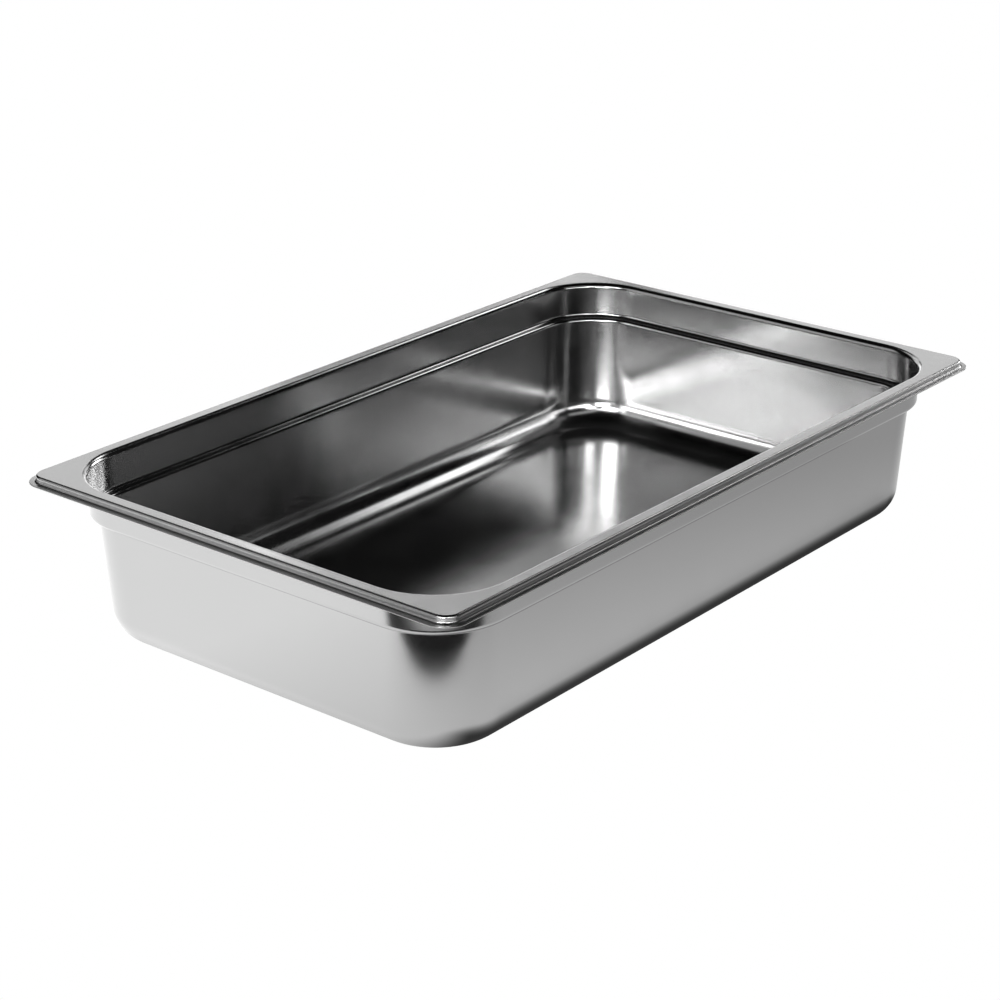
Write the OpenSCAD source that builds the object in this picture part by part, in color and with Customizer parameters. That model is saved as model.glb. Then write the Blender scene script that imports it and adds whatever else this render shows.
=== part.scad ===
// Full-size deli food pan, deep drawn from one sheet of stainless steel.
// Millimetres. Origin: centre of the floor's underside. X is the long way, Y the short way, +Z is up.
// The sheet is followed from the rim's foot, over the flange, down the collar, over the stacking
// shoulder, down the wall, round the floor radius and across the floor.

/* [Overall] */
// Length over the rim's foot
outer_length = 530; // [300:1:800]
// Width over the rim's foot
outer_width = 325; // [200:1:500]
// Height from the floor's underside to the rim's top face
pan_height = 102; // [60:1:210]
// Sheet thickness
sheet = 0.8; // [0.5:0.1:1.5]

/* [Rim] */
// Corner radius of the rim's outline, at the tip of the foot
rim_corner_radius = 14; // [8:0.5:25]
// How far the foot reaches out from the turned-down edge
lip_reach = 4; // [2.5:0.5:8]
// Height from the underside of the foot to the rim's top face
lip_drop = 5; // [4.2:0.1:12]
// Radius of the rim's outer edge, and of the bend out to the foot
lip_bend = 1.5; // [1:0.1:2.5]
// Radius from the flange down into the collar
opening_bend = 3.5; // [2:0.1:6]

/* [Collar and shoulder] */
// Distance from the rim's outline to the collar's inner face
collar_inset = 14.5; // [11:0.5:30]
// Corner radius of the collar's inner face
collar_corner_radius = 45.5; // [25:0.5:70]
// Depth of the stacking shoulder below the rim
shoulder_depth = 24; // [12:0.5:40]
// How far the wall below the shoulder stands in from the collar
shoulder_width = 5.5; // [5.1:0.1:10]
// Radius where the collar meets the shoulder
shoulder_root_radius = 2.4; // [1:0.1:3]
// Radius where the shoulder turns down into the wall
shoulder_nose_radius = 2.6; // [1.6:0.1:3]

/* [Wall and floor] */
// Lean of the wall from upright, in degrees
wall_draft = 1.8; // [0:0.1:6]
// Corner radius of the wall's inner face, just below the shoulder
wall_corner_radius = 42; // [30:0.5:80]
// Outside radius between wall and floor
floor_radius = 20; // [6:0.5:30]

/* [Hidden] */
$fn = 96;
steel_colour = [0.78, 0.78, 0.79];

// Insets are measured inwards from the rim's outline, and a corner centre is the same inset on both sides.
collar_corner_inset = collar_inset + collar_corner_radius;
wall_face_inset = collar_inset + shoulder_width;
wall_corner_inset = wall_face_inset + wall_corner_radius;

// How far a flat plate laps over the strip of sheet that ends in a bend
flat_lap = 2;

// Heights of the shoulder's and the foot's top faces
shoulder_height = pan_height - shoulder_depth;
foot_height = pan_height - lip_drop + sheet;

// Centres of the bends, as [minus inset, height]
edge_centre = [-lip_reach - lip_bend, pan_height - lip_bend];
foot_centre = [-lip_reach + lip_bend, foot_height + lip_bend];
opening_centre = [-collar_inset + opening_bend, pan_height - opening_bend];
root_centre = [-collar_inset - shoulder_root_radius, shoulder_height + shoulder_root_radius];
nose_centre = [-wall_face_inset + shoulder_nose_radius, shoulder_height - shoulder_nose_radius];

// The wall's inner face looks along this direction, and the floor bend touches the wall it starts from.
wall_normal = [-cos(wall_draft), sin(wall_draft)];
// The leaning face runs a hair into the bend at each of its ends, so that the three always join.
wall_lap = 0.01 * [sin(wall_draft), cos(wall_draft)];
wall_step = floor_radius + shoulder_nose_radius - sheet;
wall_fall = nose_centre[1] - floor_radius;
floor_centre = [
    nose_centre[0] - (wall_step + wall_fall * sin(wall_draft)) / cos(wall_draft),
    floor_radius
];

// A bend of the sheet seen in section: a ring cut to the angles between from_angle and to_angle
module bend(centre, inner_radius, from_angle, to_angle) {
    reach = 2 * (inner_radius + sheet);
    middle = (from_angle + to_angle) / 2;
    translate(centre)
        intersection() {
            difference() {
                circle(r = inner_radius + sheet);
                circle(r = inner_radius);
            }
            polygon([
                [0, 0],
                reach * [cos(from_angle), sin(from_angle)],
                reach * [cos(middle), sin(middle)],
                reach * [cos(to_angle), sin(to_angle)]
            ]);
        }
}

// A strip of flat sheet in section, from an inset inwards, so that a flat plate laps over it
module flat_strip(start, top) {
    translate([start - flat_lap, top - sheet])
        square([flat_lap, sheet]);
}

// Section of the rim's edge: a strip of the flange, the bend over, the short drop, the bend out and the
// foot with its round tip
module lip_section() {
    flat_strip(edge_centre[0], pan_height);
    bend(edge_centre, lip_bend - sheet, 0, 90);
    translate([-lip_reach - sheet, foot_centre[1]])
        square([sheet, edge_centre[1] - foot_centre[1]]);
    bend(foot_centre, lip_bend, 180, 270);
    translate([foot_centre[0], foot_height - sheet])
        square([-sheet / 2 - foot_centre[0], sheet]);
    translate([-sheet / 2, foot_height - sheet / 2])
        circle(r = sheet / 2);
}

// Section of the collar: the bend down from the flange, the upright face and the bend in to the shoulder
module collar_section() {
    bend(opening_centre, opening_bend - sheet, 90, 180);
    translate([-collar_inset, root_centre[1]])
        square([sheet, opening_centre[1] - root_centre[1]]);
    bend(root_centre, shoulder_root_radius, 270, 360);
}

// Section of the wall: the bend down from the shoulder, the leaning face, the bend in to the floor and a
// strip of the floor
module wall_section() {
    bend(nose_centre, shoulder_nose_radius - sheet, 90, 180 - wall_draft);
    polygon([
        nose_centre + shoulder_nose_radius * wall_normal + wall_lap,
        nose_centre + (shoulder_nose_radius - sheet) * wall_normal + wall_lap,
        floor_centre - floor_radius * wall_normal - wall_lap,
        floor_centre - (floor_radius - sheet) * wall_normal - wall_lap
    ]);
    bend(floor_centre, floor_radius - sheet, 270, 360 - wall_draft);
    flat_strip(floor_centre[0], sheet);
}

// Carries a section round the pan: four straight runs and four quarter turns
module around(corner_inset) {
    run_x = outer_length - 2 * corner_inset;
    run_y = outer_width - 2 * corner_inset;
    for (side = [0, 1])
        mirror([0, side, 0])
            translate([-run_x / 2, outer_width / 2, 0])
                rotate([90, 0, 90])
                    linear_extrude(run_x)
                        children();
    for (side = [0, 1])
        mirror([side, 0, 0])
            translate([outer_length / 2, run_y / 2, 0])
                rotate([90, 0, 0])
                    linear_extrude(run_y)
                        children();
    for (side_x = [0, 1], side_y = [0, 1])
        mirror([side_x, 0, 0])
            mirror([0, side_y, 0])
                translate([run_x / 2, run_y / 2, 0])
                    rotate_extrude(angle = 90)
                        translate([corner_inset, 0])
                            children();
}

// Outline at an inset from the rim's outline, with its corners turned about the given corner centres
module outline(inset, corner_inset) {
    run_x = outer_length - 2 * corner_inset;
    run_y = outer_width - 2 * corner_inset;
    square([outer_length - 2 * inset, run_y], center = true);
    square([run_x, outer_width - 2 * inset], center = true);
    for (side_x = [-1, 1], side_y = [-1, 1])
        translate([side_x * run_x / 2, side_y * run_y / 2])
            circle(r = corner_inset - inset);
}

// The flat top of the rim, between the outer edge's bend and the opening's bend
module flange() {
    translate([0, 0, pan_height - sheet])
        linear_extrude(sheet)
            difference() {
                outline(-edge_centre[0], rim_corner_radius);
                outline(-opening_centre[0], collar_corner_inset);
            }
}

// The flat of the stacking shoulder, which is widest in the corners
module shoulder() {
    translate([0, 0, shoulder_height - sheet])
        linear_extrude(sheet)
            difference() {
                outline(-root_centre[0], collar_corner_inset);
                outline(-nose_centre[0], wall_corner_inset);
            }
}

module floor_plate() {
    linear_extrude(sheet)
        outline(-floor_centre[0], wall_corner_inset);
}

// The whole pan is one piece of sheet
module pan() {
    color(steel_colour)
        union() {
            around(rim_corner_radius) lip_section();
            flange();
            around(collar_corner_inset) collar_section();
            shoulder();
            around(wall_corner_inset) wall_section();
            floor_plate();
        }
}

pan();
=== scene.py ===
import math

import bmesh
import bpy
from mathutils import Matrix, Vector


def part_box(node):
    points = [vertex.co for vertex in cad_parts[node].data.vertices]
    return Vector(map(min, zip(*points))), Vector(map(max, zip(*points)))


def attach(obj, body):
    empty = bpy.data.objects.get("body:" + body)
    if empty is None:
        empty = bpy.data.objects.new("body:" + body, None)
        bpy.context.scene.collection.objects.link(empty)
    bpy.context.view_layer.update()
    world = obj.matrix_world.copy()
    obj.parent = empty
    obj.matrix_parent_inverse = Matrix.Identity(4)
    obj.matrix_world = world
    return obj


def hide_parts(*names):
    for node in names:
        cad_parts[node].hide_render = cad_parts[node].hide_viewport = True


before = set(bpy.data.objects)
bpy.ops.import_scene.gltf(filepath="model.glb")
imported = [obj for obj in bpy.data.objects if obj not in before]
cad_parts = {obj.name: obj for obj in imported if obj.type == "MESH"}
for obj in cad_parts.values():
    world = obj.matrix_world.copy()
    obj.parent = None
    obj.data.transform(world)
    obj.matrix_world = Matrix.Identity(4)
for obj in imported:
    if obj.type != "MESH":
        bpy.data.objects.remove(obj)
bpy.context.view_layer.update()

MM = 0.001
FULL_TURN_SEGMENTS = 96


# --- Sizes of the section, in millimetres: how far in from the rim's outline, and how high ---

pan_low, pan_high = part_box("pan")
LENGTH = (pan_high.x - pan_low.x) / MM
WIDTH = (pan_high.y - pan_low.y) / MM
RIM_TOP = pan_high.z / MM
SHEET = 0.8

# The corners of each stretch are turned about a centre this far in from both sides
RIM_CORNER = 14
COLLAR_CORNER = 60
WALL_TOP_CORNER = 60
WALL_FOOT_CORNER = 66

# The turned-down edge and the foot that reaches out from it
LIP_REACH = 4
LIP_DROP = 5
LIP_BEND = 1.5
FOOT_CENTRE = (LIP_REACH - LIP_BEND, RIM_TOP - LIP_DROP + SHEET + LIP_BEND)
EDGE_CENTRE = (LIP_REACH + LIP_BEND, RIM_TOP - LIP_BEND)

# The opening's bend, the upright collar and the bend in to the shoulder
COLLAR_INSET = 14.5
SHOULDER_DEPTH = 24
SHOULDER_TOP = RIM_TOP - SHOULDER_DEPTH
OPENING_BEND = 3.5
OPENING_CENTRE = (COLLAR_INSET - OPENING_BEND, RIM_TOP - OPENING_BEND)
ROOT_BEND = 2.4
ROOT_CENTRE = (COLLAR_INSET + ROOT_BEND, SHOULDER_TOP + ROOT_BEND)

# The bend down from the shoulder, the leaning wall and the bend in to the floor
SHOULDER_WIDTH = 5.5
NOSE_BEND = 2.6
NOSE_CENTRE = (COLLAR_INSET + SHOULDER_WIDTH - NOSE_BEND, SHOULDER_TOP - NOSE_BEND)
WALL_DRAFT = 1.8
FLOOR_BEND = 20 - SHEET

# The floor bend's centre is where the leaning wall just touches both bends
WALL_FALL = NOSE_CENTRE[1] - SHEET - FLOOR_BEND
WALL_REACH = NOSE_BEND + FLOOR_BEND + WALL_FALL * math.sin(math.radians(WALL_DRAFT))
FLOOR_CENTRE = (
    NOSE_CENTRE[0] + WALL_REACH / math.cos(math.radians(WALL_DRAFT)),
    SHEET + FLOOR_BEND,
)

# How far a flat runs on past a bend, so that its shading stays flat
HOLD = 0.25
SHOULDER_HOLD = 0.1
TRIMMED_EDGE = 0.3

# How exactly a place is matched when faces and edges are selected
NEAR = 0.01 * MM

# A step inwards by less than this is straight up or down
PLUMB = 0.001 * MM


def bend(centre, radius, start, end, steps):
    """Points round a bend of the section. Angle 0 looks out to the rim's outline, and 90 looks up."""
    points = []
    for step in range(steps + 1):
        angle = math.radians(start + (end - start) * step / steps)
        points.append((centre[0] - radius * math.cos(angle), centre[1] + radius * math.sin(angle)))
    return points


def straight(start, end, held, parts):
    """Points between two bends, with one held close to each bend so that the flat shades flat."""
    share = held / math.dist(start, end)
    shares = [share] + [part / parts for part in range(1, parts)] + [1 - share]
    across, up = end[0] - start[0], end[1] - start[1]
    return [(start[0] + share * across, start[1] + share * up) for share in shares]


def select_cap(height):
    """Selects the face that closes the middle of the pan at this height."""
    bpy.ops.mesh.select_mode(type="FACE")
    bpy.ops.mesh.select_all(action="DESELECT")
    mesh = bmesh.from_edit_mesh(bpy.context.object.data)
    for face in mesh.faces:
        middle = face.calc_center_median() - Vector((0, 0, height * MM))
        face.select_set(middle.length < NEAR)
    bmesh.update_edit_mesh(bpy.context.object.data)


def select_open_edges(heights):
    """Selects the open edges that lie at one of these heights."""
    bpy.ops.mesh.select_mode(type="EDGE")
    bpy.ops.mesh.select_all(action="DESELECT")
    mesh = bmesh.from_edit_mesh(bpy.context.object.data)
    for edge in mesh.edges:
        gaps = [min(abs(v.co.z - height * MM) for height in heights) for v in edge.verts]
        edge.select_set(edge.is_boundary and max(gaps) < NEAR)
    bmesh.update_edit_mesh(bpy.context.object.data)


def add_stretch(points, corner_inset):
    """Adds one stretch of the pan: a plane with rounded corners, carried inwards along the section."""
    inset, height = points[0]
    bpy.ops.mesh.select_mode(type="VERT")
    bpy.ops.mesh.select_all(action="DESELECT")
    bpy.ops.mesh.primitive_plane_add(size=1, location=(0, 0, height * MM))
    bpy.ops.transform.resize(value=((LENGTH - 2 * inset) * MM, (WIDTH - 2 * inset) * MM, 1))
    bpy.ops.mesh.bevel(
        affect="VERTICES",
        offset=(corner_inset - inset) * MM,
        segments=FULL_TURN_SEGMENTS // 4,
        profile=0.5,
    )
    select_cap(height)
    for (inset, height), (next_inset, next_height) in zip(points, points[1:]):
        inward = (next_inset - inset) * MM
        rise = (next_height - height) * MM
        if inward > PLUMB:
            bpy.ops.mesh.inset(thickness=inward, depth=rise)
        else:
            bpy.ops.mesh.extrude_region_move(TRANSFORM_OT_translate={"value": (0, 0, rise)})


def add_open_stretch(points, corner_inset):
    """Adds one stretch and leaves its middle open, ready for a bridge."""
    add_stretch(points, corner_inset)
    bpy.ops.mesh.delete(type="ONLY_FACE")


def bridge(heights, cuts):
    """Joins the two open outlines at these heights with sheet."""
    select_open_edges(heights)
    bpy.ops.mesh.bridge_edge_loops(number_cuts=cuts, interpolation="LINEAR")


def make_pan():
    """The whole pan: one sheet, followed inwards from the rim's foot and then given its thickness."""
    foot = bend(FOOT_CENTRE, LIP_BEND, 270, 180, 8)
    edge = bend(EDGE_CENTRE, LIP_BEND, 0, 90, 8)
    lip = [(0, foot[0][1]), (foot[0][0] - HOLD, foot[0][1])] + foot
    lip += straight(foot[-1], edge[0], HOLD, 1) + edge
    lip += [(edge[-1][0] + HOLD, RIM_TOP)]

    opening = bend(OPENING_CENTRE, OPENING_BEND, 90, 180, 12)
    root = bend(ROOT_CENTRE, ROOT_BEND, 0, -90, 8)
    collar = [(opening[0][0] - HOLD, RIM_TOP)] + opening
    collar += straight(opening[-1], root[0], HOLD, 4) + root
    collar += [(root[-1][0] + SHOULDER_HOLD, root[-1][1])]

    nose = bend(NOSE_CENTRE, NOSE_BEND, 90, 180 - WALL_DRAFT, 8)
    floor = bend(FLOOR_CENTRE, FLOOR_BEND, -WALL_DRAFT, -90, 20)
    held = straight(nose[-1], floor[0], HOLD, 1)
    wall_top = [(nose[0][0] - SHOULDER_HOLD, nose[0][1])] + nose + held[:1]
    wall_foot = held[1:] + floor + [(floor[-1][0] + HOLD, floor[-1][1])]

    bpy.ops.object.select_all(action="DESELECT")
    bpy.ops.mesh.primitive_plane_add(size=1)
    pan = bpy.context.object
    pan.name = "drawn_pan"
    bpy.ops.object.mode_set(mode="EDIT")
    bpy.ops.mesh.delete(type="VERT")

    add_open_stretch(lip, RIM_CORNER)
    add_open_stretch(collar, COLLAR_CORNER)
    add_open_stretch(wall_top, WALL_TOP_CORNER)
    add_stretch(wall_foot, WALL_FOOT_CORNER)
    bridge([RIM_TOP], 0)
    bridge([SHOULDER_TOP], 0)
    bridge([held[0][1], held[1][1]], 5)
    bpy.ops.object.mode_set(mode="OBJECT")

    thickness = pan.modifiers.new("thickness", "SOLIDIFY")
    thickness.thickness = SHEET * MM
    thickness.offset = -1
    thickness.use_even_offset = True
    bpy.ops.object.modifier_apply(modifier="thickness")
    trimmed = pan.modifiers.new("trimmed_edge", "BEVEL")
    trimmed.limit_method = "ANGLE"
    trimmed.angle_limit = math.radians(60)
    trimmed.width = TRIMMED_EDGE * MM
    trimmed.segments = 3
    bpy.ops.object.modifier_apply(modifier="trimmed_edge")
    bpy.ops.object.shade_smooth()
    return pan


pan = make_pan()
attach(pan, "root")
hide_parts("pan")


# --- Material ---

def linear(hex_colour):
    """A colour from its sRGB hex value."""
    parts = [int(hex_colour[i:i + 2], 16) / 255 for i in (1, 3, 5)]
    return [p / 12.92 if p <= 0.04045 else ((p + 0.055) / 1.055) ** 2.4 for p in parts] + [1.0]


def add_node(tree, kind, settings=None, links=None, **properties):
    """Adds a node with its properties, its sockets' values and its links."""
    made = tree.nodes.new(kind)
    for name, value in properties.items():
        setattr(made, name, value)
    for socket, value in (settings or {}).items():
        made.inputs[socket].default_value = value
    for socket, source in (links or {}).items():
        tree.links.new(source, made.inputs[socket])
    return made


STEEL_REFLECTION = "#BCBCBC"
CLOUD_SIZE = 33 * MM
LINE_SPACING = 1.4 * MM
LINE_STRETCH = 50
LINE_DEPTH = 0.2 * MM


def drawn_stainless_steel():
    """Stainless steel sheet, deep drawn and satin polished: a soft mirror that blurs what stands round it,
    with faint upright draw lines from the die, cloudy polishing, and a rim that racks have scuffed duller."""
    material = bpy.data.materials.new("stainless_steel_drawn_satin_polished")
    material.use_nodes = True
    tree = material.node_tree
    tree.nodes.clear()
    place = add_node(tree, "ShaderNodeTexCoord").outputs["Object"]

    # Polishing clouds, a few centimetres across
    cloud = add_node(
        tree, "ShaderNodeTexNoise", {"Scale": 1 / CLOUD_SIZE, "Detail": 3.0}, {"Vector": place}
    )
    polish = add_node(
        tree, "ShaderNodeMapRange",
        {"From Min": 0.3, "From Max": 0.7, "To Min": 0.16, "To Max": 0.21},
        {"Value": cloud.outputs["Fac"]},
    )

    # The turned-down edge and the foot are duller than the rest
    flat = ((LENGTH / 2 - EDGE_CENTRE[0]) * MM, (WIDTH / 2 - EDGE_CENTRE[0]) * MM, 1.0)
    side = add_node(tree, "ShaderNodeVectorMath", None, {0: place}, operation="ABSOLUTE")
    past = add_node(
        tree, "ShaderNodeVectorMath", {1: flat}, {0: side.outputs["Vector"]}, operation="SUBTRACT"
    )
    ways = add_node(tree, "ShaderNodeSeparateXYZ", None, {"Vector": past.outputs["Vector"]})
    furthest = add_node(
        tree, "ShaderNodeMath", None, {0: ways.outputs["X"], 1: ways.outputs["Y"]}, operation="MAXIMUM"
    )
    scuff = add_node(
        tree, "ShaderNodeMapRange",
        {"From Min": -0.5 * MM, "From Max": 1.0 * MM, "To Min": 0.0, "To Max": 0.12},
        {"Value": furthest.outputs["Value"]},
    )
    rough = add_node(
        tree, "ShaderNodeMath", None,
        {0: polish.outputs["Result"], 1: scuff.outputs["Result"]}, operation="ADD",
    )

    # Draw lines, finer on the real sheet and spaced here so that they show
    stretched = add_node(
        tree, "ShaderNodeMapping", {"Scale": (1.0, 1.0, 1 / LINE_STRETCH)}, {"Vector": place}
    )
    lines = add_node(
        tree, "ShaderNodeTexNoise", {"Scale": 1 / LINE_SPACING, "Detail": 2.0},
        {"Vector": stretched.outputs["Vector"]},
    )
    relief = add_node(
        tree, "ShaderNodeBump", {"Strength": 0.02, "Distance": LINE_DEPTH}, {"Height": lines.outputs["Fac"]}
    )
    shader = add_node(
        tree, "ShaderNodeBsdfPrincipled",
        {"Base Color": linear(STEEL_REFLECTION), "Metallic": 1.0},
        {"Roughness": rough.outputs["Value"], "Normal": relief.outputs["Normal"]},
    )
    add_node(tree, "ShaderNodeOutputMaterial", None, {"Surface": shader.outputs["BSDF"]})
    return material


pan.data.materials.clear()
pan.data.materials.append(drawn_stainless_steel())


# --- Stage: camera, pale floor, backdrop and soft lights ---

# The camera looks down at the corner between the left end and the front side
bpy.ops.object.camera_add(
    location=(-1.1043, -0.8808, 0.6160),
    rotation=[math.radians(angle) for angle in (67.959, 0.084, -50.79)],
)
camera = bpy.context.object
camera.data.lens = 88.07
camera.data.sensor_width = 36.0
bpy.context.scene.camera = camera


def glow(name, hex_colour, strength):
    """A shadeless paint for the stage."""
    material = bpy.data.materials.new(name)
    material.use_nodes = True
    tree = material.node_tree
    tree.nodes.clear()
    light = add_node(tree, "ShaderNodeEmission", {"Color": linear(hex_colour), "Strength": strength})
    add_node(tree, "ShaderNodeOutputMaterial", None, {"Surface": light.outputs["Emission"]})
    return material


def seen_only_by_camera(item):
    """Keeps the stage out of the steel's reflections, which come from the papers and lights alone."""
    item.visible_diffuse = item.visible_glossy = item.visible_transmission = False
    item.visible_shadow = item.visible_volume_scatter = False


FLOOR_LEVEL = -0.004
PAPER_LEVEL = -0.001
PAPER_SIZE = 3.0

white = glow("white_sweep", "#FFFFFF", 1.0)
bpy.ops.mesh.primitive_plane_add(size=12, location=(0, 0, FLOOR_LEVEL))
floor = bpy.context.object
floor.name = "pale_floor"
floor.data.materials.append(white)
seen_only_by_camera(floor)
bpy.ops.mesh.primitive_uv_sphere_add(segments=48, ring_count=24, radius=8)
backdrop = bpy.context.object
backdrop.name = "pale_backdrop"
backdrop.data.materials.append(white)
seen_only_by_camera(backdrop)

toward_camera = Vector((-0.775, -0.632, 0))


def paper_with_painted_light():
    """White paper that glows with painted light: painted brightest on the left, and painted dark where the
    pan's shadow would fall.
    """
    material = bpy.data.materials.new("white_paper_with_painted_light_and_shadow")
    material.use_nodes = True
    tree = material.node_tree
    tree.nodes.clear()
    place = add_node(tree, "ShaderNodeTexCoord").outputs["Object"]

    # Painted light: the glow is brighter from the right of the front towards the left of the back
    across = add_node(
        tree, "ShaderNodeVectorMath", {1: (-0.3, 0.954, 0.0)}, {0: place}, operation="DOT_PRODUCT"
    )
    fade = add_node(
        tree, "ShaderNodeMapRange",
        {"From Min": -0.3, "From Max": 0.15, "To Min": 0.64, "To Max": 1.42},
        {"Value": across.outputs["Value"]},
    )

    # Painted shadow: the glow is darker under the pan and close by its front side, where its shadow would
    # fall
    shifted = add_node(
        tree, "ShaderNodeVectorMath", {1: (-0.01, 0.018, 0.0)}, {0: place}, operation="ADD"
    )
    half = add_node(
        tree, "ShaderNodeVectorMath", None, {0: shifted.outputs["Vector"]}, operation="ABSOLUTE"
    )
    outside = add_node(
        tree, "ShaderNodeVectorMath", {1: (0.222, 0.12, 0.0)}, {0: half.outputs["Vector"]},
        operation="SUBTRACT",
    )
    beyond = add_node(
        tree, "ShaderNodeVectorMath", {1: (0.0, 0.0, 0.0)}, {0: outside.outputs["Vector"]},
        operation="MAXIMUM",
    )
    gap = add_node(tree, "ShaderNodeVectorMath", None, {0: beyond.outputs["Vector"]}, operation="LENGTH")
    shadow = add_node(
        tree, "ShaderNodeMapRange",
        {"From Min": 0.0, "From Max": 0.035, "To Min": 0.1, "To Max": 1.0},
        {"Value": gap.outputs["Value"]}, interpolation_type="SMOOTHSTEP",
    )
    strength = add_node(
        tree, "ShaderNodeMath", None,
        {0: fade.outputs["Result"], 1: shadow.outputs["Result"]}, operation="MULTIPLY",
    )
    light = add_node(
        tree, "ShaderNodeEmission", {"Color": linear("#FFFFFF")}, {"Strength": strength.outputs["Value"]}
    )
    add_node(tree, "ShaderNodeOutputMaterial", None, {"Surface": light.outputs["Emission"]})
    return material


def lay_paper(name, start, end):
    """Paper on the table between two distances from the pan's middle toward the camera. The camera does not
    see it, but the steel does."""
    bpy.ops.mesh.primitive_plane_add(size=1, location=(0, 0, PAPER_LEVEL))
    sheet = bpy.context.object
    sheet.name = name
    sheet.scale = (PAPER_SIZE, PAPER_SIZE, 1.0)
    bpy.ops.object.transform_apply(location=True, rotation=False, scale=True)
    bpy.ops.object.mode_set(mode="EDIT")
    bpy.ops.mesh.select_all(action="SELECT")
    bpy.ops.mesh.bisect(plane_co=toward_camera * end, plane_no=toward_camera, clear_outer=True)
    bpy.ops.mesh.select_all(action="SELECT")
    bpy.ops.mesh.bisect(plane_co=toward_camera * start, plane_no=toward_camera, clear_inner=True)
    bpy.ops.object.mode_set(mode="OBJECT")
    sheet.data.materials.append(paper_with_painted_light())
    sheet.visible_camera = False
    return sheet


# The gap between the two papers is what the steel of the front corner shows as a dark patch
paper = lay_paper("paper_under_pan", -PAPER_SIZE, 0.338)
front_paper = lay_paper("paper_in_front", 0.435, 1.3)

LIGHT_DISTANCE = 3.0
LIGHT_CENTRE = Vector((0, 0, 0.05))


def soft_box(name, azimuth, elevation, wide, tall, brightness):
    """A flat light at an azimuth (counted from +X) and an elevation, which spans these angles wide and tall.
    Brightness is what a mirror shows of it."""
    turn, lift = math.radians(azimuth), math.radians(elevation)
    out = Vector((math.cos(turn) * math.cos(lift), math.sin(turn) * math.cos(lift), math.sin(lift)))
    bpy.ops.object.light_add(
        type="AREA",
        location=LIGHT_CENTRE + LIGHT_DISTANCE * out,
        rotation=(-out).to_track_quat("-Z", "Y").to_euler(),
    )
    light = bpy.context.object
    light.name = name
    light.data.shape = "RECTANGLE"
    light.data.size = 2 * LIGHT_DISTANCE * math.tan(math.radians(wide / 2)) * math.cos(lift)
    light.data.size_y = 2 * LIGHT_DISTANCE * math.tan(math.radians(tall / 2))
    light.data.energy = brightness * math.pi * light.data.size * light.data.size_y
    light.visible_camera = False


# Name, azimuth, elevation, width and height in degrees, brightness
LIGHTS = [
    ("back_low_card", 48, 5, 48, 10, 1.4),
    ("back_left_card", 61, 20, 26, 18, 1.05),
    ("back_card", 42, 13, 14, 9, 1.5),
    ("back_near_card", 42, 27, 16, 8, 1.15),
    ("back_right_card", 24, 18, 20, 18, 1.1),
    ("back_high_card", 62, 36, 24, 16, 0.85),
    ("over_right_box", 2, 40, 28, 12, 2.8),
    ("strip_low", 210, 5, 12, 10, 1.0),
    ("strip", 204, 16, 24, 12, 10.0),
    ("streak_box", 228, 31, 20, 10, 6.0),
    ("front_box", 240, 21, 24, 12, 4.5),
    ("front_right_box", 264, 20, 24, 12, 3.0),
    ("left_box", 184, 31, 32, 10, 9.0),
    ("left_high_box", 192, 40, 48, 8, 2.6),
    ("left_card", 180, 18, 24, 14, 0.5),
    ("left_back_card", 138, 22, 36, 40, 0.65),
    ("right_low_box", 342, 5, 36, 10, 2.0),
    ("right_card", 348, 16, 24, 12, 6.5),
    ("over_front_card", 252, 50, 72, 12, 0.6),
]
for name, azimuth, elevation, wide, tall, brightness in LIGHTS:
    soft_box(name, azimuth, elevation, wide, tall, brightness)

# Only a breath of light from everywhere else, so that no reflection is quite black
world = bpy.data.worlds.new("studio")
bpy.context.scene.world = world
world.use_nodes = True
world.node_tree.nodes["Background"].inputs["Color"].default_value = linear("#FFFFFF")
world.node_tree.nodes["Background"].inputs["Strength"].default_value = 0.004

bpy.context.scene.view_settings.view_transform = "Standard"
bpy.context.scene.view_settings.gamma = 0.8  # a little more contrast
